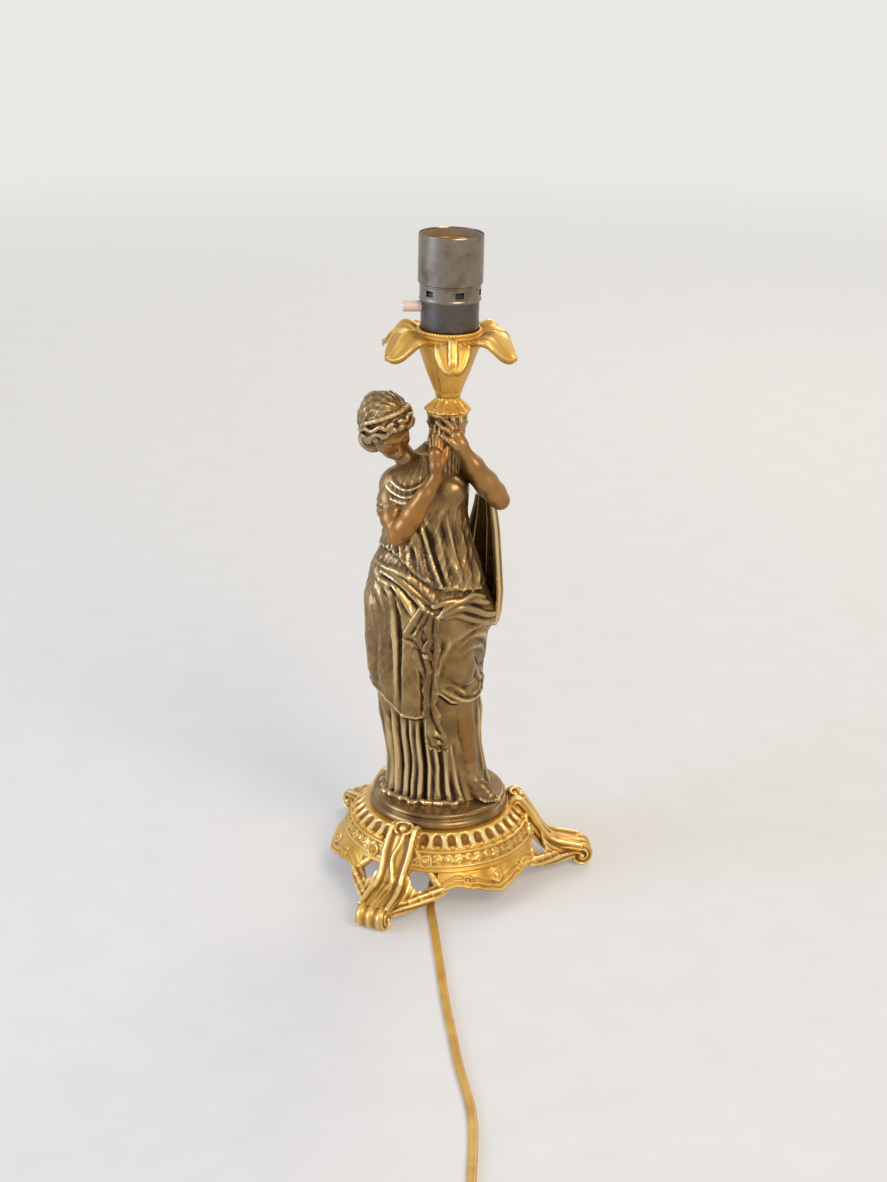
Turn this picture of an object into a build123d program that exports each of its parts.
"""Figural table lamp: a robed figure holding a torch that carries a push-bar lamp socket.

Millimetres, +Z up. The origin is on the lamp's axis at table level, and +Y points away
from the front, so the figure faces -Y.
"""
from build123d import *
import os
from math import atan2, cos, degrees, exp, hypot, pi, radians, sin, tan

# ---- threaded rod and its fittings (1/8 IP lamp pipe) ----
rod_radius = 4.85
rod_bore_radius = 3.2
rod_clearance = 0.15
rod_tail = 16.0             # how far the rod hangs below the dome's deck
rod_nut_flats = 14.3
rod_nut_height = 4.8
washer_radius = 12.5
washer_thickness = 1.2
bushing_radius = 6.6
bushing_lip = 3.5           # bushing below the rod's end
bushing_grip = 4.0          # bushing around the rod's end

# ---- base dome ----
deck_height = 43.8          # top of the dome's flat deck above the table
dome_wall = 3.0
deck_radius = 45.0
lappet_inset = 7.0          # lower edge of the hollowed lappet ring, inside the rim
lappet_drop = 6.6
band_inset = 1.5            # lower edge of the relief band, inside the rim
band_drop = 16.8
rim_radius = 59.5
rim_drop = 19.6
lappet_count = 36
lappet_hollow_radius = 2.0

# ---- scroll feet ----
foot_count = 3
first_foot_azimuth = 5.5
foot_width = 22.0
volute_radius = 7.4
volute_run = 30.3           # volute's centre beyond the rim
volute_width = 19.0
bracket_thickness = 3.0
screw_radius = 1.5
screw_head_radius = 2.8
screw_head_height = 1.8
screw_clearance = 0.05
foot_screw_drop = 12.8      # below the deck
foot_screw_inset = 6.9      # screw heads' seat inside the rim
foot_screw_length = 6.6
foot_screw_bore = 7.4       # screw's hole beyond its seat
foot_screw_access = 12.6    # driver's way in, behind the seat

# ---- pierced aprons between the feet ----
apron_wall = 2.6
apron_flare = 0.583         # outward run for each unit of drop
apron_half_angle = 38.0
pendant_drop = 33.6         # pendant's tip below the deck
notch_drop = 27.8
rim_flange = 7.5            # inward flange that the aprons screw up to
rim_flange_height = 3.0
apron_screw_inset = 4.9     # inside the rim
apron_screw_spread = 20.0   # degrees each side of a pendant

# ---- plinth ----
plinth_radius = 42.0
plinth_height = 9.2
plinth_top_radius = 40.6

# ---- torch, collar and flower cup ----
torch_height = 238.0        # torch's top above the plinth
torch_length = 56.0
torch_top_radius = 12.4
torch_waist_radius = 11.0
torch_tail_radius = 6.8
collar_height = 11.5
collar_radius = 13.0
cup_neck_radius = 6.6
cup_height = 35.2
cup_mouth_radius = 18.0
cup_wall = 1.8
petal_count = 6
first_petal_azimuth = -85.5
petal_reach = 43.0
petal_half_width = 13.6
petal_rise = 6.1            # petal's crown above the cup's deck
petal_tip_drop = 8.1        # petal's tip below the cup's deck
petal_thickness = 1.8
ring_radius = 19.3
ring_floor = 1.5
ring_height = 4.3

# ---- the figure's cloth ----
cloth_points = 54           # points round an outline
fold_width = 3.6
back_fold_width = 4.6
pleat_rise = 2.0
mantle_proud = 1.2          # mantle's thickness over the dress
dress_pleats = [(-84, -84), (-66, -68), (-46, -51), (-32, -37), (-14, -20), (3, 1), (22, 29), (77, 87),
                (98, 96), (131, 132), (167, 167), (202, 203), (238, 238)]        # angles at hem and plinth
dress_sections = (0, 8, 20, 34, 48, 62)
mantle_sections = (60, 67, 75, 83, 91, 99, 107)
hip_sections = (107, 114, 121, 128, 135, 142, 150, 159)

# ---- lamp socket (medium screw, push-through switch) ----
cap_radius = 16.6
cap_wall = 0.7
cap_height = 22.8
cap_round = 4.0
hub_radius = 7.2
shell_radius = 18.5
shell_skirt_radius = 17.4
shell_wall = 0.6
shell_height = 37.6
skirt_height = 10.2
skirt_overlap = 3.6         # shell's skirt outside the cap
slot_count = 6
slot_width = 5.0
slot_height = 3.4
liner_wall = 0.9
liner_gap = 0.2
screw_shell_radius = 13.2   # inside, for a medium (E26) bulb cap
screw_shell_wall = 0.5
screw_shell_height = 19.0
contact_well_radius = 12.0
contact_well = 4.0          # depth of the well that keeps the contact below the screw shell
interior_radius = 15.6
interior_flange = 2.0
interior_rise = 4.0         # insulator above its flange
boss_radius = 12.6
boss_height = 3.6
terminal_radius = 1.6
terminal_height = 1.8
wire_radius = 0.7
contact_width = 6.0
contact_rise = 3.2

# ---- push-through switch bar ----
bar_radius = 3.2
bar_clearance = 0.08
bar_height = 15.3           # bar's axis above the bottom of the cap
bar_azimuth = 7.0           # the way the bar is pushed
bar_reach = 27.3            # free end from the lamp's axis

# ---- flat twin cord, its coil and plug ----
cord_width = 5.2
cord_thickness = 2.7
cord_rest = 0.1             # cord's underside above the table
coil_half_turns = 7         # half turns inwards on the lower of two layers
coil_pitch = 5.7
coil_layer = 3.25
coil_outer_radius = 43.0
coil_lift = 0.9
tie_thickness = 0.6
tie_width = 5.0
plug_length = 26.0
plug_width = 21.0
plug_thickness = 13.4
blade_length = 17.5
blade_width = 6.35
blade_thickness = 1.5
blade_spacing = 12.7

# ---- places that follow ----
lappet_radius = rim_radius - lappet_inset
band_radius = rim_radius - band_inset
volute_reach = rim_radius + volute_run
apron_span = rim_radius * tan(radians(apron_half_angle))
foot_screw_seat = rim_radius - foot_screw_inset
apron_screw_reach = rim_radius - apron_screw_inset
plinth_top = deck_height + plinth_height
torch_top = plinth_top + torch_height
collar_top = torch_top + collar_height
cup_deck = collar_top + cup_height
cap_bottom = cup_deck + ring_floor
cap_top = cap_bottom + cap_height
skirt_bottom = cap_top - skirt_overlap
shell_shoulder = skirt_bottom + skirt_height
shell_top = skirt_bottom + shell_height
interior_top = cap_top + interior_flange + interior_rise
bar_axis = cap_bottom + bar_height
rod_bottom = deck_height - dome_wall - rod_tail + 2.0
rod_top = cap_bottom + 5.3
cord_exit = rod_bottom - bushing_lip
shell_seat = interior_top + contact_well
screw_shell_top = shell_seat + screw_shell_height

parts = {}


def turned(points):
    """Solid of revolution about the lamp's axis from (radius, height) corners."""
    return revolve(make_face(Plane.XZ * Polyline(*points, close=True)), Axis.Z)


def tube(inner, outer, bottom, top):
    return turned([(inner, bottom), (outer, bottom), (outer, top), (inner, top)])


def rod_hole(bottom, top, radius=rod_radius + rod_clearance):
    return Pos(0, 0, (bottom + top) / 2) * Cylinder(radius, top - bottom)


def around(azimuth, shape):
    return Rot(0, 0, azimuth) * shape


def upright(points, thickness):
    """Plate of (radial, height) outline, centred on the radial plane."""
    face = make_face(Plane.XZ * Polyline(*points, close=True))
    return extrude(face, thickness / 2, both=True)


def single(shape):
    """The largest solid of a cut, without the slivers that a cut can leave."""
    return max(shape.solids(), key=lambda s: s.volume)


def foot_azimuths():
    return [first_foot_azimuth + 360 / foot_count * i for i in range(foot_count)]


def pendant_azimuths():
    return [first_foot_azimuth - 180 / foot_count + 360 / foot_count * i for i in range(foot_count)]


# ---- base ----
def dome_outline():
    d = deck_height
    return [(deck_radius, d), (lappet_radius, d - lappet_drop), (lappet_radius + 1.3, d - lappet_drop - 1.4),
            (band_radius, d - band_drop), (rim_radius, d - band_drop - 1.4), (rim_radius, d - rim_drop)]


def dome_fill():
    """The dome as a full body, which the feet and aprons are cut to."""
    return turned([(0, deck_height)] + dome_outline() + [(0, deck_height - rim_drop)])


def radial_bore(radius, height, azimuth, start, end):
    bore = Pos((start + end) / 2, 0, height) * Rot(0, 90, 0) * Cylinder(radius, end - start)
    return around(azimuth, bore)


def base_dome():
    d, w = deck_height, dome_wall
    flange_top = d - rim_drop + rim_flange_height
    inner = [(rim_radius - rim_flange, d - rim_drop), (rim_radius - rim_flange, flange_top),
             (band_radius - w, flange_top), (lappet_radius + 1.3 - w, d - lappet_drop - 1.4 - w / 2),
             (deck_radius - w / 2, d - w)]
    hole = rod_radius + rod_clearance
    dome = turned([(hole, d)] + dome_outline() + inner + [(hole, d - w)])
    slope = hypot(lappet_radius - deck_radius, lappet_drop)
    tilt = 90 + degrees(lappet_drop / slope)
    mid = ((deck_radius + lappet_radius) / 2, d - lappet_drop / 2 + 0.6)
    hollow = Pos(mid[0], 0, mid[1]) * Rot(0, tilt, 0) * Cylinder(lappet_hollow_radius, slope * 0.72)
    dome -= [around(360 / lappet_count * (i + 0.5), hollow) for i in range(lappet_count)]
    bore = screw_radius + screw_clearance
    height = d - foot_screw_drop
    start, seat = foot_screw_seat - foot_screw_access, foot_screw_seat
    dome -= [radial_bore(bore, height, a, start, seat + foot_screw_bore) for a in foot_azimuths()]
    head = screw_head_radius + 0.2
    dome -= [radial_bore(head, height, a, start, seat) for a in foot_azimuths()]
    dome -= [place * Cylinder(bore, 4 * rim_flange_height) for place in apron_screw_places()]
    return single(dome)


def apron_screw_places():
    """Seats of the apron screws, on the underside of the aprons' flanges."""
    seat = deck_height - rim_drop - apron_wall
    return [Rot(0, 0, a + turn) * Pos(apron_screw_reach, 0, seat)
            for a in pendant_azimuths() for turn in (-apron_screw_spread, apron_screw_spread)]


def bracket(side):
    """Leafy branch that runs from an apron's end along the foot to the table."""
    start, end = (rim_radius - 8.0, side * 0.516 * apron_span), (volute_reach - 10.8, side * 9.0)
    run = hypot(end[0] - start[0], end[1] - start[1])
    outline = [(0, 10.0), (0.42 * run, 4.5), (0.8 * run, 1.2), (run, 0.6),
               (run, 12.2), (0.7 * run, 11.5), (0.42 * run, 10.8), (0, 17.0)]
    plate = upright(outline, bracket_thickness)
    turn = degrees(atan2(end[1] - start[1], end[0] - start[0]))
    return Pos(start[0], start[1], 0) * Rot(0, 0, turn) * plate


def scroll_foot():
    """Foot in its own radial plane, before it is turned to its place."""
    d, r, v, end = deck_height, rim_radius, 2 * volute_radius, volute_reach
    top = [(r - 16.3, d), (r - 15.3, d + 2.6), (r - 12.5, d + 3.6), (r - 9.3, d + 2.6), (r - 5.5, d - 1.8),
           (r - 1.3, d - 8.4), (r + 2.5, d - 14.6), (r + 5.9, d - 20.2), (r + 10.0, v + 4.2),
           (end - 14.8, v + 2.2), (end - 9.3, v + 1.2), (end - 4.8, v + 0.6)]
    under = [(end - 0.8, 9.0), (end - 5.8, 9.6), (end - 15.8, 10.8), (r + 6.5, 13.0), (r + 1.0, d - 24.8),
             (r - 1.5, d - rim_drop), (r - 9.5, d - 13.8), (r - 16.3, d - 3.8)]
    strap = upright(top + under, foot_width)
    centre = volute_radius - 0.4
    volute = Pos(volute_reach, 0, centre) * Rot(90, 0, 0) * Cylinder(volute_radius, volute_width)
    groove = upright([(r - 12.5, d + 6), (r - 12.5, d - 2), (r - 4.5, d - 3), (r + 3.5, d - 16),
                      (r + 11.5, v + 3.0), (end - 4.8, v - 0.4), (end - 4.8, v + 9.0)], foot_width - 9)
    crest = upright([(x, z - 1.2) for x, z in top] + under, foot_width - 8)
    foot = (strap - groove) + crest + volute + bracket(1) + bracket(-1)
    foot -= dome_fill()
    foot -= Pos(0, 0, -50) * Box(300, 300, 100)
    foot -= rod_hole(deck_height, plinth_top, plinth_radius + 0.8)
    start, stop = foot_screw_seat - foot_screw_access, foot_screw_seat + foot_screw_bore
    foot -= radial_bore(screw_radius + screw_clearance, d - foot_screw_drop, 0, start, stop)
    return single(foot)


def apron(foot_solids, azimuth):
    d = deck_height
    top, low = d - rim_drop, 2.0
    reach = rim_radius + (top - low) * apron_flare
    skin = [(rim_radius, top), (reach, low), (reach - apron_wall, low), (rim_radius - apron_wall, top)]
    lip = [(rim_radius - rim_flange, top), (rim_radius, top), (rim_radius, top - apron_wall),
           (rim_radius - rim_flange, top - apron_wall)]
    shell = turned(skin) + turned(lip)
    tip, notch = d - pendant_drop, d - notch_drop
    half = [(0, tip), (0.064, tip + 2.6), (0.204, tip + 3.6), (0.269, tip + 6.6), (0.43, tip + 4.4),
            (0.548, notch), (0.645, notch - 2.0), (0.785, notch - 6.0)]      # parts of the apron's span
    edge = [(-t, z) for t, z in reversed(half[1:])] + half
    outline = [(t * apron_span, z) for t, z in edge + [(0.807, top + 1), (-0.807, top + 1)]]
    window = extrude(make_face(Plane.YZ * Polyline(*outline, close=True)), 90)
    half_angle, far = radians(apron_half_angle), 2 * rim_radius
    corner = (far * cos(half_angle), far * sin(half_angle))
    sector = make_face(Polyline((0, 0), (corner[0], -corner[1]), corner, close=True))
    panel = around(azimuth, (shell & window) & extrude(sector, 60))
    for foot in foot_solids:
        panel -= foot
    panel -= [place * Cylinder(screw_radius + screw_clearance, 12) for place in apron_screw_places()]
    return single(panel)


def machine_screw(length):
    """Screw along +Z: its head starts at zero and its shank goes up."""
    head = Pos(0, 0, -screw_head_height / 2) * Cylinder(screw_head_radius, screw_head_height)
    shank = Pos(0, 0, length / 2) * Cylinder(screw_radius, length)
    slot = Pos(0, 0, -screw_head_height) * Box(2 * screw_head_radius + 1, 0.8, 1.4)
    return head + shank - slot


def foot_screws():
    place = Pos(foot_screw_seat, 0, deck_height - foot_screw_drop) * Rot(0, 90, 0)
    screw = machine_screw(foot_screw_length)
    return Compound([single(around(a, place * screw)) for a in foot_azimuths()])


def apron_screws():
    screw = machine_screw(apron_wall + rim_flange_height)
    return Compound([single(place * screw) for place in apron_screw_places()])


def plinth():
    d = deck_height
    t = plinth_top
    r, rt = plinth_radius, plinth_top_radius
    with BuildPart() as body:
        with BuildSketch(Plane.XZ):
            with BuildLine():
                Polyline((rod_radius + rod_clearance, t), (rt - 1.6, t))
                ThreePointArc((rt - 1.6, t), (rt, t - 1.7), (rt - 1.2, t - 3.4))
                Line((rt - 1.2, t - 3.4), (rt - 0.4, t - 4.2))
                ThreePointArc((rt - 0.4, t - 4.2), (r + 0.3, (t + d) / 2 - 2.2), (r - 0.6, d))
                Polyline((r - 0.6, d), (rod_radius + rod_clearance, d), (rod_radius + rod_clearance, t))
            make_face()
        revolve(axis=Axis.Z)
    return body.part.solid()


# ---- rod and fittings ----
def central_rod():
    return tube(rod_bore_radius, rod_radius, rod_bottom, rod_top)


def rod_washer():
    top = deck_height - dome_wall
    return tube(rod_radius + rod_clearance, washer_radius, top - washer_thickness, top)


def rod_nut():
    top = deck_height - dome_wall - washer_thickness
    hexagon = extrude(RegularPolygon(rod_nut_flats / 2, 6, major_radius=False), rod_nut_height)
    return single(Pos(0, 0, top - rod_nut_height) * hexagon - rod_hole(0, top, rod_radius + 0.05))


def cord_bushing():
    low, seat = cord_exit, rod_bottom
    bore = cord_width / 2 + 0.3
    return turned([(bore, low), (bushing_radius - 1, low), (bushing_radius, low + 1),
                   (bushing_radius, seat + bushing_grip), (rod_radius + 0.05, seat + bushing_grip),
                   (rod_radius + 0.05, seat), (bore, seat)])


def cord_section(plane):
    return plane * SlotOverall(cord_width, cord_thickness)


def inner_lead():
    face = cord_section(Plane(origin=(0, 0, cord_exit), x_dir=(1, 0, 0), z_dir=(0, 0, 1)))
    return extrude(face, rod_top + 0.1 - cord_exit).solid()


# ---- figure: heights are above the plinth ----
def lofted(sections):
    """Body through ellipses: (height above plinth, centre x, centre y, half width, half depth)."""
    rings = [Pos(cx, cy, plinth_top + h) * Ellipse(rx, ry) for h, cx, cy, rx, ry in sections]
    return loft(rings)


def limb(stations):
    """Limb through circles square to its line: (x, y, height above plinth, radius)."""
    points = [Vector(x, y, plinth_top + h) for x, y, h, _ in stations]
    rings = []
    for i, (point, station) in enumerate(zip(points, stations)):
        ahead = points[min(i + 1, len(points) - 1)]
        behind = points[max(i - 1, 0)]
        rings.append(Plane(origin=point, z_dir=(ahead - behind).normalized()) * Circle(station[3]))
    return loft(rings)


def ball(x, y, height, radius):
    return Pos(x, y, plinth_top + height) * Sphere(radius)


def oval(x, y, height, half_width, half_depth, half_height, tilt=(0, 0, 0)):
    body = scale(Sphere(1), by=(half_width, half_depth, half_height))
    return Pos(x, y, plinth_top + height) * Rot(*tilt) * body


def torch():
    t = torch_top
    low = t - torch_length
    body = turned([(rod_radius + rod_clearance, t), (torch_top_radius, t), (torch_top_radius - 0.3, t - 3.5),
                   (torch_waist_radius + 0.3, t - 6), (torch_waist_radius, t - 11),
                   (torch_tail_radius + 2.2, t - 34), (torch_tail_radius, low),
                   (rod_radius + rod_clearance, low)])
    return body


def figure_head():
    skull = oval(-34.0, -6.0, 232.5, 15.5, 17.0, 18.0, tilt=(-30, -20, 0))
    jaw = oval(-26.0, -14.5, 221.5, 9.0, 8.5, 10.5, tilt=(-25, -20, 0))
    bun = ball(-43.0, 3.0, 222.0, 8.6)
    neck = limb([(-20.0, 0.5, 202.0, 8.0), (-23.5, -2.0, 211.0, 6.8), (-28.0, -4.5, 222.0, 7.2)])
    return single(skull + jaw + bun + neck)


def right_arm():
    upper = limb([(-29.5, 0.0, 197.0, 8.0), (-31.0, -6.0, 188.0, 7.8), (-30.0, -14.0, 178.0, 7.2),
                  (-27.0, -20.0, 170.5, 6.4)])
    elbow = ball(-27.0, -20.0, 170.0, 6.6)
    fore = limb([(-27.0, -20.0, 170.0, 6.3), (-20.5, -22.5, 180.0, 7.2), (-12.0, -22.5, 194.5, 5.8),
                 (-4.0, -21.0, 209.0, 4.0)])
    hand = limb([(-4.0, -21.0, 208.0, 4.0), (-5.0, -18.5, 216.0, 5.2), (-5.5, -14.5, 224.0, 4.8),
                 (-3.0, -13.0, 231.0, 3.4)])
    return upper + ball(-29.5, 0.0, 197.0, 8.0) + elbow + fore + hand


def left_arm():
    upper = limb([(7.0, 9.0, 212.0, 7.6), (15.0, 4.0, 205.0, 7.6), (24.0, -3.5, 196.0, 7.0),
                  (31.5, -8.5, 189.5, 6.2)])
    elbow = ball(31.5, -8.5, 189.5, 6.4)
    fore = limb([(31.5, -8.5, 189.5, 6.2), (26.0, -13.0, 197.5, 6.9), (18.0, -16.5, 209.5, 5.6),
                 (10.0, -17.5, 221.5, 4.0)])
    hand = limb([(10.0, -17.5, 221.0, 4.0), (5.5, -17.0, 228.0, 5.0), (1.0, -15.5, 234.0, 4.6),
                 (-2.0, -14.5, 238.0, 3.4)])
    return upper + ball(7.0, 9.0, 212.0, 7.6) + elbow + fore + hand


def figure_torso():
    trunk = lofted([(159, -11, 0, 24, 17), (172, -11, 0, 21, 15.5), (187, -13, 0, 23, 16.5),
                    (197, -12.5, 0.5, 24, 14.5), (205, -11.5, 1.5, 20, 12), (212, -11, 2.5, 12, 8.5)])
    return trunk + ball(4.2, -10.0, 195.5, 8.2) + ball(-18.5, -11.5, 188.0, 8.2)


def along(lines, height, column):
    """A value of a table of rows that start with their height."""
    rows = sorted(lines)
    if height <= rows[0][0]:
        return rows[0][column]
    for low, high in zip(rows, rows[1:]):
        if height <= high[0]:
            share = (height - low[0]) / (high[0] - low[0])
            return low[column] + share * (high[column] - low[column])
    return rows[-1][column]


def fold_rise(folds, angle, height, size):
    """How far the folds make the cloth stand out; angles run from the front to the figure's left."""
    out = 0.0
    for line, rise, width in folds:
        nearest = 4 * width
        for (a0, h0), (a1, h1) in zip(line, line[1:]):
            off = radians((angle - a0 + 180) % 360 - 180) * size
            run, climb, up = radians(a1 - a0) * size, h1 - h0, height - h0
            share = (off * run + up * climb) / (run * run + climb * climb)
            share = min(max(share, 0), 1)
            nearest = min(nearest, hypot(off - share * run, up - share * climb))
        out += rise * exp(-(nearest / width) ** 2)
    return out


def cloth(table, heights, folds, proud=0.0):
    """Loft through closed outlines that carry the main folds."""
    rings = []
    for h in heights:
        cx, cy, rx, ry = (along(table, h, column) for column in (1, 2, 3, 4))
        points = []
        for i in range(cloth_points):
            angle = 360 / cloth_points * i
            out = proud + fold_rise(folds, angle, h, (rx + ry) / 2)
            points.append((cx + (rx + out) * sin(radians(angle)), cy - (ry + out) * cos(radians(angle))))
        rings.append(Pos(0, 0, plinth_top + h) * make_face(Spline(*points, periodic=True)))
    return loft(rings)


def figure_hips():
    table = [(107, -9, 0, 35, 25.5), (113, -7, 0, 38, 26.3), (121, -6.5, 0, 38, 26),
             (130, -9.5, 0, 34.5, 24.5), (138, -11, 0, 32, 23.5), (148, -11.5, 0, 29.5, 21.5),
             (159, -11, 0, 24, 17.5)]
    folds = [([(-75, 147), (-40, 146.5), (-12, 140), (5, 131)], 2.4, fold_width),
             ([(-66, 144), (-44, 140), (-30, 133), (-20, 124)], 2.2, fold_width),
             ([(68, 126), (45, 130.5), (20, 131), (5, 128.5)], 3.4, fold_width),
             ([(70, 118), (43, 124), (19, 125), (8, 122)], 3.0, fold_width),
             ([(-34, 118), (-32, 107)], 2.0, fold_width), ([(-22, 118), (-20, 107)], -1.6, fold_width),
             ([(-56, 122), (-54, 107)], 1.4, fold_width), ([(20, 159), (27, 139)], 2.0, fold_width),
             ([(0, 159), (17, 138)], 1.6, fold_width), ([(36, 159), (36, 138)], 1.8, fold_width),
             ([(54, 159), (48, 137)], 1.5, fold_width), ([(71, 159), (62, 134)], 1.6, fold_width),
             ([(84, 107), (70, 113), (50, 115), (22, 107)], 1.6, fold_width),
             ([(-100, 146), (-128, 128), (-158, 112), (-170, 107)], 2.0, back_fold_width),
             ([(-104, 132), (-130, 112), (-138, 107)], 1.9, back_fold_width),
             ([(-112, 150), (-140, 138), (-172, 126), (-204, 119), (-236, 121), (-262, 124)], 1.8,
              back_fold_width)]
    outer = cloth(table, hip_sections, folds)
    inner = lofted([(106, -9, 0, 24, 16), (121, -8, 0, 26, 17), (138, -10, 0, 22, 15), (150, -9, 0, 13, 9)])
    return outer - inner


def figure_skirt():
    """Mantle from its hem up, over the pleated dress."""
    table = [(0, -1, -1, 32.5, 24.5), (8, -2, -1, 29.5, 22.5), (22, -2.5, 0, 28, 21), (42, -6, 0, 29, 21.5),
             (56, -7, 0, 30, 22.5), (62, -8, 0, 30.5, 23), (82, -10.5, 0, 33, 25), (97, -10.5, 0, 34, 25.5),
             (107, -9, 0, 35, 25.5)]
    pleats = [([(a, 66), (b, 0)], pleat_rise, fold_width) for a, b in dress_pleats]
    dress = cloth(table, dress_sections, pleats)
    folds = [([(-57, 115), (-48, 97), (-47, 66)], 1.7, fold_width),
             ([(-78, 115), (-70, 95), (-66, 66)], 1.6, fold_width),
             ([(-34, 118), (-29, 100), (-30, 80), (-36, 60)], 1.5, fold_width),
             ([(-24, 118), (-21, 100), (-22, 80), (-26, 60)], -1.6, fold_width),
             ([(-8, 107), (-3, 95), (-2, 75), (-5, 60)], -1.8, fold_width),
             ([(84, 98), (68, 105), (54, 107), (27, 101)], 1.6, fold_width),
             ([(16, 110), (20, 103), (11, 83)], 1.6, fold_width),
             ([(-158, 112), (-190, 101), (-220, 97), (-252, 100)], 2.0, back_fold_width),
             ([(-130, 112), (-160, 96), (-194, 86), (-224, 82), (-256, 84)], 1.9, back_fold_width),
             ([(-96, 116), (-122, 96), (-150, 82), (-182, 75), (-210, 72)], 1.8, back_fold_width)]
    mantle = cloth(table, mantle_sections, folds, mantle_proud)
    thigh = limb([(4, -12, 104, 9.8), (7, -15, 97, 9.4), (9.5, -17.5, 88, 8.6)])
    knee = oval(10, -18, 86, 9, 8.6, 9.5)
    above = Pos(0, 0, plinth_top + mantle_sections[-1] + 50) * Box(200, 200, 100)
    return single((dress + mantle + thigh + knee) - skirt_hollow() - above)


def skirt_hollow():
    return lofted([(-1, -1, -1, 26, 17.5), (22, -2.5, 0, 22, 14.5), (42, -6, 0, 22, 15), (70, -9, 0, 23, 16),
                   (108, -9, 0, 24, 16)])


def mantle_fall():
    """Free-hanging sheet behind and to the right of the figure, from elbow to hip."""
    t = plinth_top
    sheet = turned_part([(31.0, t + 184), (35.6, t + 132), (34.6, t + 113), (31.6, t + 113), (32.4, t + 132),
                         (28.2, t + 184)], 95)
    return around(-14, sheet)


def turned_part(points, angle):
    return revolve(make_face(Plane.XZ * Polyline(*points, close=True)), Axis.Z, angle)


def mantle_cascade():
    """Bunched zigzag folds that fall down the front from the hip knot."""
    return lofted([(42, -3, -23.0, 6.0, 4.0), (60, -5, -24.5, 8.5, 5.5), (84, -11, -25.0, 11.0, 6.0),
                   (104, -13, -25.0, 12.5, 6.0), (113, -12, -25.0, 9.0, 5.0)])


def left_foot():
    """Bare shin below the mantle's hem, and the foot."""
    shin = limb([(12.5, -15, 72, 8.2), (13.6, -14.6, 56, 8.4), (16, -12.6, 36, 6.4), (18.6, -12, 20, 4.8),
                 (19.6, -12.2, 8, 5.0)])
    foot = limb([(17.4, -10.4, 5.2, 5.0), (24.5, -15.2, 5.2, 4.9), (30.6, -18.8, 3.6, 3.4),
                 (35.4, -21.4, 2.2, 2.0)])
    sole = Pos(0, 0, plinth_top - 50) * Box(200, 200, 100)
    return single(shin + foot - sole)


# ---- collar, cup and ring ----
def collar_knop():
    b, r = torch_top, collar_radius
    hole = rod_radius + rod_clearance
    return turned([(hole, b), (r - 0.6, b), (r, b + 1.2), (r, b + 3.6), (r - 0.7, b + 6), (r - 2.7, b + 8.4),
                   (cup_neck_radius + 0.9, b + 10.2), (cup_neck_radius + 0.3, collar_top),
                   (hole, collar_top)])


def petal():
    d = cup_deck
    rise, drop, w = petal_rise, petal_tip_drop, petal_thickness
    with BuildPart() as leaf:
        with BuildSketch(Plane.XZ):
            with BuildLine():
                ThreePointArc((16.2, d - 0.4), (20.6, d + rise - 1.9), (25.6, d + rise))
                ThreePointArc((25.6, d + rise), (36.6, d + rise - 3.8), (petal_reach, d - drop))
                Line((petal_reach, d - drop), (petal_reach - w, d - drop))
                ThreePointArc((petal_reach - w, d - drop), (35.3, d + rise - 5.6), (25.4, d + rise - w))
                ThreePointArc((25.4, d + rise - w), (21.4, d + rise - 3.6), (17.4, d - 2.2))
                Line((17.4, d - 2.2), (16.2, d - 0.4))
            make_face()
        extrude(amount=petal_half_width, both=True)
        with BuildSketch(Plane.XY.offset(d - 30)):
            with BuildLine():
                ThreePointArc((15.0, -8.5), (24.5, -petal_half_width), (34.5, -10.6))
                ThreePointArc((34.5, -10.6), (40.0, -6.2), (petal_reach + 0.2, 0))
                ThreePointArc((petal_reach + 0.2, 0), (40.0, 6.2), (34.5, 10.6))
                ThreePointArc((34.5, 10.6), (24.5, petal_half_width), (15.0, 8.5))
                Line((15.0, 8.5), (15.0, -8.5))
            make_face()
        extrude(amount=60, mode=Mode.INTERSECT)
    return leaf.part.solid()


def flower_cup():
    b, t = collar_top, cup_deck
    hole = rod_radius + rod_clearance
    w = cup_wall
    outer = [(hole, b), (cup_neck_radius, b), (cup_neck_radius + 0.2, b + 1.5), (8.5, b + 4), (10.3, b + 8.7),
             (12.0, b + 13.5), (14.0, b + 18.2), (15.4, b + 21), (cup_mouth_radius, b + 30.5), (18.6, t)]
    inner = [(hole, t), (hole, t - w), (cup_mouth_radius - w, t - w), (15.4 - w, b + 21),
             (12.0 - w, b + 13.5), (10.3 - w, b + 8.7), (hole + 0.5, b + 6.5), (hole, b + 6.5)]
    cup = turned(outer + inner)
    for i in range(petal_count):
        cup += around(first_petal_azimuth + 360 / petal_count * i, petal())
    cup -= rod_hole(t, t + 20, ring_radius + 0.02)
    return single(cup)


def beaded_ring():
    b = cup_deck
    return turned([(hub_radius + 0.1, b), (ring_radius, b), (ring_radius, b + ring_height - 0.8),
                   (ring_radius - 0.8, b + ring_height), (cap_radius + 0.5, b + ring_height),
                   (cap_radius + 0.3, b + ring_floor), (hub_radius + 0.1, b + ring_floor)])


# ---- socket ----
def bar_bore(radius):
    bore = Pos(0, 0, bar_axis) * Rot(0, 90, 0) * Cylinder(radius, 4 * cap_radius)
    return around(bar_azimuth, bore)


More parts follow.
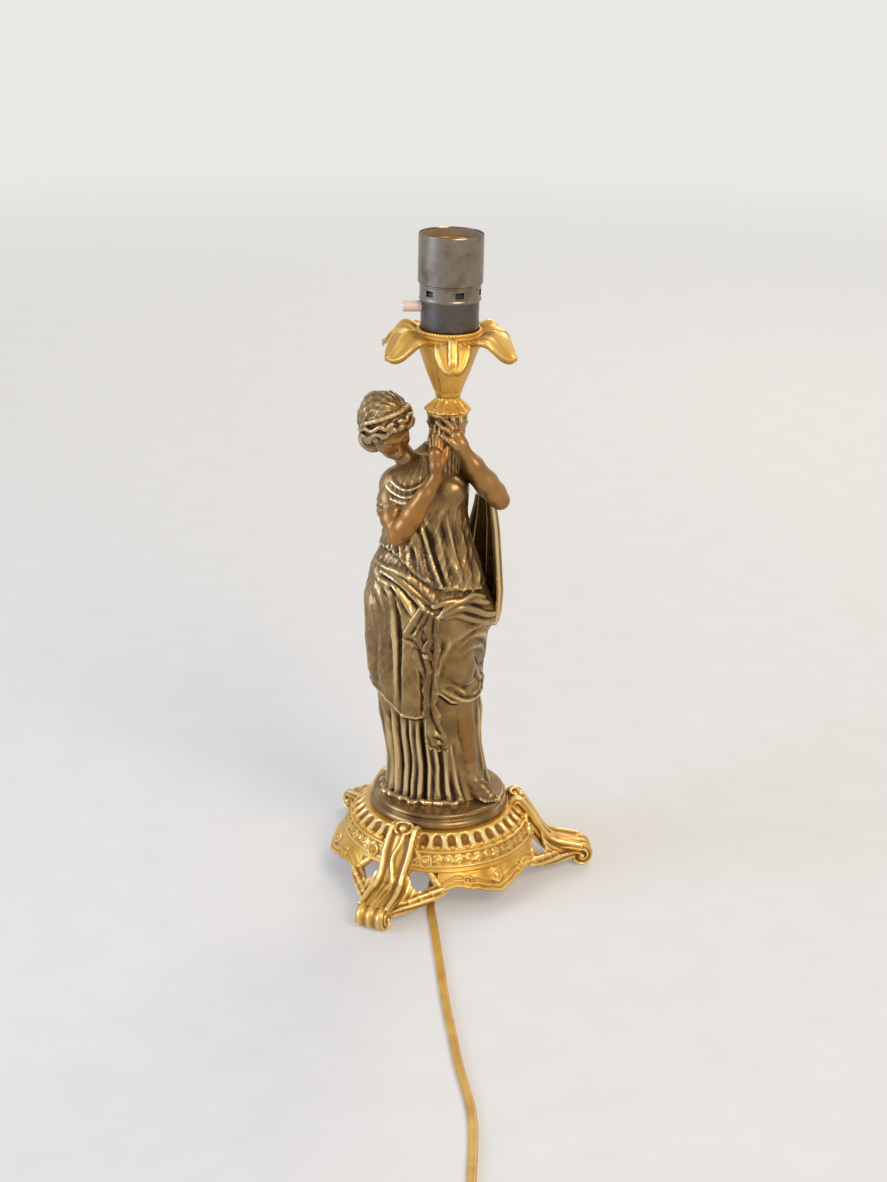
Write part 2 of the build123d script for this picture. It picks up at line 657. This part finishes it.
def socket_cap():
    b, r, w = cap_bottom, cap_radius, cap_wall
    hole = rod_radius + 0.05
    corner, inside = (size * (1 - cos(radians(45))) for size in (cap_round, cap_round - w))
    with BuildPart() as cup:
        with BuildSketch(Plane.XZ):
            with BuildLine():
                Polyline((hole, cup_deck), (hub_radius, cup_deck), (hub_radius, b), (r - cap_round, b))
                ThreePointArc((r - cap_round, b), (r - corner, b + corner), (r, b + cap_round))
                Polyline((r, b + cap_round), (r, cap_top), (r - w, cap_top), (r - w, b + cap_round))
                ThreePointArc((r - w, b + cap_round), (r - w - inside, b + w + inside), (r - cap_round, b + w))
                Polyline((r - cap_round, b + w), (hub_radius, b + w), (hub_radius, b + 4.2), (hole, b + 4.2),
                         (hole, cup_deck))
            make_face()
        revolve(axis=Axis.Z)
    return single(cup.part - bar_bore(bar_radius + bar_clearance))


def socket_shell():
    s, k, w = shell_radius, shell_skirt_radius, shell_wall
    low, step, top = skirt_bottom, shell_shoulder, shell_top
    shell = turned([(k, low), (k + 0.3, low + 0.6), (k + 0.3, low + 1.4), (k, low + 2.0), (k, step - 1.6),
                    (k + 0.3, step - 1.2), (k + 0.3, step - 0.6), (s, step), (s, top - 0.6), (s - w / 2, top),
                    (s - w, top - 0.6), (s - w, step + w), (k - w, step + w), (k - w, low)])
    middle = (low + step) / 2 + 0.2
    slot = Pos(k, 0, middle) * Box(8 * w, slot_width, slot_height)
    shell -= [around(360 / slot_count * i - 12, slot) for i in range(slot_count)]
    return single(shell)


def socket_liner():
    outer = shell_radius - shell_wall - liner_gap
    return tube(outer - liner_wall, outer, shell_shoulder + shell_wall, shell_top - 1.0)


def socket_interior():
    t = interior_top
    bottom = bar_axis - bar_radius - boss_height - 0.6
    body = turned([(0, bottom), (boss_radius, bottom), (boss_radius, bottom + boss_height),
                   (interior_radius, bottom + boss_height), (interior_radius, cap_top),
                   (cap_radius - 0.1, cap_top), (cap_radius - 0.1, cap_top + interior_flange),
                   (interior_radius, cap_top + interior_flange), (interior_radius, shell_seat),
                   (contact_well_radius, shell_seat), (contact_well_radius, t), (0, t)])
    body -= bar_bore(bar_radius + 0.1)
    for side in (-1, 1):
        hole = Pos(0, side * boss_radius, bottom + boss_height / 2) * Rot(90, 0, 0) * Cylinder(0.95, 8)
        body -= around(bar_azimuth, hole)
    return single(body)


def terminal_height_above():
    return bar_axis - bar_radius - boss_height / 2 - 0.6


def terminal_screws():
    screws = []
    for side in (-1, 1):
        head = Pos(0, side * (boss_radius + terminal_height / 2), terminal_height_above()) * Rot(90, 0, 0)
        shank = Pos(0, side * (boss_radius - 1.5), terminal_height_above()) * Rot(90, 0, 0)
        screw = head * Cylinder(terminal_radius, terminal_height) + shank * Cylinder(0.9, 3)
        screws.append(single(around(bar_azimuth, screw)))
    return Compound(screws)


def socket_wires():
    """Two conductors from the top of the lead to the terminal screws."""
    start, level = rod_top + 0.1, rod_top + 1.7
    end = terminal_height_above() - terminal_radius
    reach = boss_radius + 1.0
    wires = []
    for side in (-1, 1):
        path = FilletPolyline((0, side * 1.0, start), (0, side * 1.0, level), (0, side * reach, level),
                              (0, side * reach, end), radius=0.9)
        section = Plane(origin=path @ 0, z_dir=path % 0) * Circle(wire_radius)
        wires.append(single(around(bar_azimuth, sweep(section, path))))
    return Compound(wires)


def screw_shell():
    r, w, b = screw_shell_radius, screw_shell_wall, shell_seat
    return turned([(r, b), (interior_radius - 0.2, b), (interior_radius - 0.2, b + w), (r + w, b + w),
                   (r + w, screw_shell_top), (r, screw_shell_top)])


def centre_contact():
    b, w = interior_top, contact_width
    strip = upright([(-7, b), (2, b), (7.5, b + contact_rise), (3.0, b + contact_rise + 0.5),
                     (-1.5, b + 1.0), (-7, b + 0.7)], w)
    return single(strip)


def switch_bar():
    end = cap_radius + 0.1
    length = bar_reach + end
    bar = Pos((end - bar_reach) / 2, 0, bar_axis) * Rot(0, 90, 0) * Cylinder(bar_radius, length)
    bar = chamfer(bar.edges().filter_by(GeomType.CIRCLE), 0.6)
    return single(around(bar_azimuth, bar))


# ---- cord ----
table_level = cord_thickness / 2 + cord_rest
drop_route = [(0, 0, cord_exit), (0, 0, cord_exit - 8.5), (-0.9, -12.0, table_level),
              (-1.9, -24.0, table_level)]
table_route = [(-1.9, -24.0), (-3.0, -36.5), (-3.9, -57.4), (-1.8, -77.5), (0.9, -105.9), (3.4, -133.0),
               (6.1, -164.1), (9.9, -193.7), (12.5, -217.2), (15.3, -235.4), (17.8, -248.6), (20.3, -265.8),
               (21.0, -282.5), (20.6, -298.8), (19.6, -323.0), (20.2, -346.0), (20.2, -368.0)]
tail_route = [(0, 0), (0, -12.0), (5.0, -26.0), (13.0, -37.0)]   # from the coil's end to the plug
coil_centre = (table_route[-1][0] - coil_outer_radius, table_route[-1][1] - cord_width)


def corner_radii(points):
    """As large an arc at each corner as its two runs allow."""
    radii = []
    for before, corner, after in zip(points, points[1:], points[2:]):
        into, out = Vector(corner) - Vector(before), Vector(after) - Vector(corner)
        turn = radians(into.get_angle(out))
        radii.append(0.45 * min(into.length, out.length) / tan(turn / 2))
    return radii


def swept_cord(path, width_direction):
    start = Plane(origin=path @ 0, x_dir=width_direction, z_dir=path % 0)
    body = single(sweep(cord_section(start), path))
    section = (cord_width - cord_thickness) * cord_thickness + pi * cord_thickness ** 2 / 4
    print(f"  length {path.length:.1f}, volume {body.volume:.0f} against {section * path.length:.0f}")
    return body


def cord_lead():
    flat_points = [(x, y, table_level) for x, y in table_route]
    drop_radii, flat_radii = corner_radii(drop_route), corner_radii(flat_points)
    print("cord_lead radii", [round(r, 1) for r in drop_radii + flat_radii])
    drop = swept_cord(FilletPolyline(*drop_route, radius=drop_radii), (1, 0, 0))
    across = Vector(table_route[1][0] - table_route[0][0], table_route[1][1] - table_route[0][1])
    flat = swept_cord(FilletPolyline(*flat_points, radius=flat_radii), Vector(-across.Y, across.X, 0))
    return single(drop + flat)


def coil_radii():
    """Radius at each half turn: steadily in, level over the climb, then steadily out."""
    half = coil_pitch / 2
    inwards = [coil_outer_radius - half * i for i in range(coil_half_turns)]
    inner = inwards[-1] - coil_pitch
    outwards = [inner + coil_pitch + half * i for i in range(coil_half_turns - 1)]
    return inwards + [inner, inner] + outwards


def coil_stations():
    """Points and headings of the coil at each half turn: in on one layer, out on the next."""
    lower = coil_lift + cord_thickness / 2
    upper = lower + coil_layer
    radii = coil_radii()
    heights = [table_level] + [lower] * coil_half_turns + [upper] * (len(radii) - coil_half_turns - 2)
    heights.append(plug_thickness / 2)
    x0, y0 = coil_centre
    stations = []
    for i, (radius, height) in enumerate(zip(radii, heights)):
        side = 1 if i % 2 == 0 else -1
        stations.append((Vector(x0 + side * radius, y0, height), Vector(0, -side, 0)))
    return stations


def biarc(p0, t0, p1, t1):
    """Two tangent arcs from one point and heading to the next."""
    gap = p1 - p0
    lean, spread = gap.dot(t0 + t1), 2 * (1 - t0.dot(t1))
    reach = (-lean + (lean ** 2 + spread * gap.dot(gap)) ** 0.5) / spread
    middle = (p0 + t0 * reach + p1 - t1 * reach) * 0.5
    heading = ((p1 - t1 * reach) - (p0 + t0 * reach)).normalized()
    return [TangentArc(p0, middle, tangent=t0), TangentArc(middle, p1, tangent=heading)]


def coil_path():
    stations = coil_stations()
    first, last = stations[0], stations[-1]
    edges = [Line(first[0] - first[1] * cord_width, first[0])]
    for (p0, t0), (p1, t1) in zip(stations, stations[1:]):
        edges += biarc(p0, t0, p1, t1)
    edges.append(Line(last[0], last[0] + last[1] * cord_width))
    return Wire(edges)


def coil_gap(path):
    """Least clearance of the flat cord to its own other turns, on points along it."""
    count = 900
    points = [path @ (i / count) for i in range(count + 1)]
    step = path.length / count
    apart = int(2.5 * cord_width / step) + 1
    least = 1000.0
    for i, a in enumerate(points):
        for b in points[i + apart:]:
            beside = hypot(a.X - b.X, a.Y - b.Y) - cord_width
            above = abs(a.Z - b.Z) - cord_thickness
            least = min(least, max(beside, above))
    return least


def cord_coil():
    path = coil_path()
    print(f"cord_coil least gap to itself {coil_gap(path):.2f}")
    return swept_cord(path, (1, 0, 0))


def coil_tie():
    x0, y0 = coil_centre
    t = tie_thickness
    inner = min(coil_radii()) - cord_width / 2 - 0.6
    outer = coil_outer_radius + cord_width / 2 + 0.6
    top = coil_lift + cord_thickness + coil_layer + 0.4
    band = Box(outer - inner + 2 * t, tie_width, top + t) - Box(outer - inner, 2 * tie_width, top - t)
    band = Pos((inner + outer) / 2, 0, (top + t) / 2) * band
    return single(Pos(x0, y0, 0) * around(-140, band))


def tail_points():
    end, heading = coil_stations()[-1]
    start = end + heading * cord_width
    return [start + Vector(x, y, 0) for x, y in tail_route]


def cord_tail():
    points = tail_points()
    radii = corner_radii(points)
    print("cord_tail radii", [round(r, 1) for r in radii])
    return swept_cord(FilletPolyline(*points, radius=radii), (1, 0, 0))


def plug_place():
    """Frame of the plug: its cord entry at the origin, its blades along +X."""
    points = tail_points()
    return Plane(origin=points[-1], x_dir=points[-1] - points[-2], z_dir=(0, 0, 1))


def plug_body():
    body = Box(plug_length, plug_width, plug_thickness)
    body = fillet(body.edges().filter_by(Axis.Z), 5.0)
    body = fillet(body.edges().group_by(Axis.Z)[-1], 2.5)
    return single(plug_place() * Pos(plug_length / 2, 0, 0) * body)


def plug_blades():
    blades = []
    for side in (-1, 1):
        blade = Box(blade_length, blade_thickness, blade_width)
        place = Pos(plug_length + blade_length / 2, side * blade_spacing / 2, 0)
        blades.append(single(plug_place() * place * blade))
    return Compound(blades)


def build():
    rod = rod_hole(0, rod_top + 1)
    foot = scroll_foot()
    feet = [around(a, foot) for a in foot_azimuths()]
    for name, solid in zip(["foot_right", "foot_back", "foot_front"], feet):
        parts[name] = single(solid)
    for name, a in zip(["apron_front", "apron_right", "apron_left"], pendant_azimuths()):
        parts[name] = apron(feet, a)
    parts["base_dome"] = base_dome()
    parts["foot_screws"] = foot_screws()
    parts["apron_screws"] = apron_screws()
    parts["plinth"] = plinth()
    parts["central_rod"] = central_rod()
    parts["rod_washer"] = rod_washer()
    parts["rod_nut"] = rod_nut()
    parts["cord_bushing"] = cord_bushing()
    parts["inner_lead"] = inner_lead()

    core, head = torch(), figure_head()
    collar = collar_knop()
    left, right = left_arm() - core - collar, right_arm() - core
    left = single(left - right)
    right = single(right)
    torso = single(figure_torso() - core - left - right - head - rod)
    head = single(head - core - right)
    hips = single(figure_hips() - rod)
    skirt = single(figure_skirt() - rod)
    parts["torch"] = core
    parts["figure_head"] = head
    parts["left_arm"], parts["right_arm"] = left, right
    parts["figure_torso"], parts["figure_hips"], parts["figure_skirt"] = torso, hips, skirt
    parts["mantle_fall"] = single(mantle_fall() - left - torso - hips)
    parts["mantle_cascade"] = single(mantle_cascade() - skirt - hips)
    parts["left_foot"] = single(left_foot() - skirt - skirt_hollow())

    parts["collar_knop"] = collar
    for make in (flower_cup, beaded_ring, socket_cap, socket_shell, socket_liner, socket_interior,
                 terminal_screws, socket_wires, screw_shell, centre_contact, switch_bar, cord_lead, cord_coil,
                 cord_tail, coil_tie, plug_body, plug_blades):
        parts[make.__name__] = make()


build()
os.makedirs("parts", exist_ok=True)
for name, shape in parts.items():
    export_step(shape, f"parts/{name}.step")
    print(f"{name}: {len(shape.solids())} solid(s), {shape.volume:.0f} mm3")
